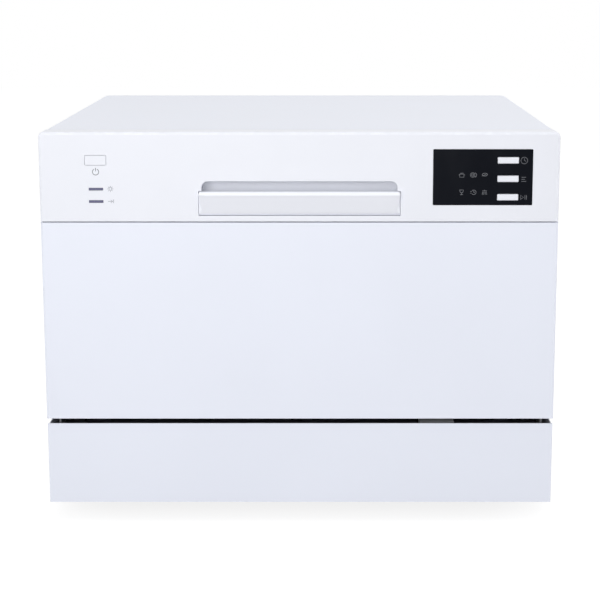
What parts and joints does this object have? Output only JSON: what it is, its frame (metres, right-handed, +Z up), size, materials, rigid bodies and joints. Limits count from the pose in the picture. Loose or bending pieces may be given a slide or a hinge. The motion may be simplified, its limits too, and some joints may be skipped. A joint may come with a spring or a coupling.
{
  "type": "countertop dishwasher",
  "caption": "Compact countertop dishwasher: white cabinet with a drop-down door, control fascia with pull handle, stainless tub, pull-out dish rack, spray arm, filter and pumps.",
  "frame": {"origin": "centre of the footprint at the level of the counter", "axes": "+Z up, the door faces -Y, +X to the viewer's right"},
  "size_m": [0.55, 0.5, 0.43],
  "materials": {
    "painted_white": "white enamel paint, semi-gloss",
    "fascia_white": "white moulded plastic, satin gloss",
    "window_black": "glossy black plastic",
    "lamp_lens": "smoked clear plastic",
    "stainless": "brushed stainless steel",
    "galvanised": "zinc-coated steel sheet",
    "plated_screw": "bright zinc plating",
    "dark_plastic": "dark moulded plastic",
    "grey_plastic": "grey moulded plastic",
    "white_plastic": "white moulded plastic",
    "coated_wire": "nylon-coated steel wire",
    "grey_rubber": "grey rubber seal",
    "black_rubber": "black rubber",
    "circuit_board": "green circuit board",
    "pump_steel": "bare metal of the motor and the heater"
  },
  "bodies": {
    "cabinet": {"cabinet_wrap": "painted_white", "back_panel": "galvanised", "base_tray": "dark_plastic", "kick_plate": "painted_white", "feet": "black_rubber", "tub_frame": "stainless", "tub_wrap": "stainless", "tub_back": "stainless", "tub_floor": "stainless", "door_gasket": "grey_rubber", "rack_rails": "stainless", "sump": "dark_plastic", "filter_plate": "stainless", "spray_post": "grey_plastic", "pump_volute": "dark_plastic", "pump_motor": "pump_steel", "delivery_pipe": "dark_plastic", "flow_heater": "pump_steel", "drain_pump": "dark_plastic", "drain_hose": "grey_plastic", "inlet_valve": "white_plastic", "inlet_hose": "grey_plastic", "air_brake": "white_plastic", "control_box": "white_plastic", "cord_gland": "dark_plastic", "striker": "plated_screw", "hinge_brackets": "galvanised", "hinge_pins": "plated_screw", "door_springs": "plated_screw", "cabinet_screws": "plated_screw", "cable_guide": "white_plastic"},
    "door": {"door_skin": "painted_white", "fascia": "fascia_white", "control_window": "window_black", "display_boards": "circuit_board", "lamp_lenses": "lamp_lens", "latch_case": "dark_plastic", "door_liner": "stainless", "hinge_arms": "galvanised", "dispenser_body": "grey_plastic", "door_screws": "plated_screw"},
    "handle": {"door_handle": "fascia_white"},
    "latch": {"latch_hook": "dark_plastic"},
    "latch_link": {"latch_link": "white_plastic"},
    "power_button": {"button_power": "fascia_white"},
    "delay_button": {"button_delay": "fascia_white"},
    "program_button": {"button_program": "fascia_white"},
    "start_button": {"button_start": "fascia_white"},
    "detergent_lid": {"detergent_lid": "grey_plastic"},
    "rinse_cap": {"rinse_cap": "white_plastic"},
    "rack": {"dish_rack": "coated_wire", "wheel_carriers": "grey_plastic"},
    "front_wheels": {"rack_wheels_front": "grey_plastic"},
    "rear_wheels": {"rack_wheels_rear": "grey_plastic"},
    "cup_shelf": {"cup_shelf": "coated_wire"},
    "cutlery_basket": {"cutlery_basket": "grey_plastic"},
    "spray_arm": {"spray_arm": "stainless"},
    "filter": {"coarse_filter": "grey_plastic"},
    "impeller": {"pump_impeller": "white_plastic"},
    "float": {"float_cup": "white_plastic"}
  },
  "joints": [
    {"name": "door_hinge", "type": "hinge", "parent": "cabinet", "child": "door", "pos_m": [0, -0.228, 0.1275], "axis": [1, 0, 0], "range_deg": [0, 90], "deforming": ["door_springs"]},
    {"name": "handle_pull", "type": "hinge", "parent": "door", "child": "handle", "pos_m": [0, -0.237, 0.3457], "axis": [1, 0, 0], "range_deg": [0, 5], "stiffness_Nm_per_rad": 0.6, "springref_deg": -2.86},
    {"name": "latch_lift", "type": "hinge", "parent": "door", "child": "latch", "pos_m": [0, -0.226, 0.419], "axis": [1, 0, 0], "range_deg": [0, 11.5]},
    {"name": "link_lift", "type": "slide", "parent": "door", "child": "latch_link", "axis": [0, 0, 1], "range_m": [0, 0.00151]},
    {"name": "power_press", "type": "slide", "parent": "door", "child": "power_button", "axis": [0, 1, 0], "range_m": [0, 0.0012], "stiffness_N_per_m": 400, "springref_m": -0.0005},
    {"name": "delay_press", "type": "slide", "parent": "door", "child": "delay_button", "axis": [0, 1, 0], "range_m": [0, 0.0012], "stiffness_N_per_m": 400, "springref_m": -0.0005},
    {"name": "program_press", "type": "slide", "parent": "door", "child": "program_button", "axis": [0, 1, 0], "range_m": [0, 0.0012], "stiffness_N_per_m": 400, "springref_m": -0.0005},
    {"name": "start_press", "type": "slide", "parent": "door", "child": "start_button", "axis": [0, 1, 0], "range_m": [0, 0.0012], "stiffness_N_per_m": 400, "springref_m": -0.0005},
    {"name": "detergent_slide", "type": "slide", "parent": "door", "child": "detergent_lid", "axis": [0, 0, -1], "range_m": [0, 0.044]},
    {"name": "rinse_turn", "type": "hinge", "parent": "door", "child": "rinse_cap", "pos_m": [-0.042, -0.202, 0.2745], "axis": [0, 1, 0], "range_deg": [0, 90]},
    {"name": "rack_roll", "type": "slide", "parent": "cabinet", "child": "rack", "axis": [0, -1, 0], "range_m": [0, 0.018]},
    {"name": "front_wheel_turn", "type": "hinge", "parent": "rack", "child": "front_wheels", "pos_m": [0, -0.125, 0.1628], "axis": [1, 0, 0], "range_deg": [0, 120]},
    {"name": "rear_wheel_turn", "type": "hinge", "parent": "rack", "child": "rear_wheels", "pos_m": [0, 0.144, 0.1628], "axis": [1, 0, 0], "range_deg": [0, 120]},
    {"name": "shelf_fold", "type": "hinge", "parent": "rack", "child": "cup_shelf", "pos_m": [-0.22, 0, 0.3003], "axis": [0, -1, 0], "range_deg": [0, 75]},
    {"name": "basket_lift", "type": "slide", "parent": "rack", "child": "cutlery_basket", "axis": [0, 0, 1], "range_m": [0, 0.08]},
    {"name": "spray_arm_spin", "type": "hinge", "parent": "cabinet", "child": "spray_arm", "pos_m": [0, 0, 0.1525], "axis": [0, 0, 1], "continuous": true},
    {"name": "filter_turn", "type": "hinge", "parent": "cabinet", "child": "filter", "pos_m": [0.062, -0.1, 0.14], "axis": [0, 0, 1], "range_deg": [0, 90]},
    {"name": "impeller_spin", "type": "hinge", "parent": "cabinet", "child": "impeller", "pos_m": [0, -0.1, 0.096], "axis": [1, 0, 0], "continuous": true},
    {"name": "float_rise", "type": "slide", "parent": "cabinet", "child": "float", "axis": [0, 0, 1], "range_m": [0, 0.01]}
  ],
  "couplings": [
    {"joint": "latch_lift", "follows": "handle_pull", "ratio": 2.1},
    {"joint": "link_lift", "follows": "handle_pull", "m_per_rad": 0.01719},
    {"joint": "front_wheel_turn", "follows": "rack_roll", "rad_per_m": 83.333},
    {"joint": "rear_wheel_turn", "follows": "rack_roll", "rad_per_m": 83.333}
  ]
}
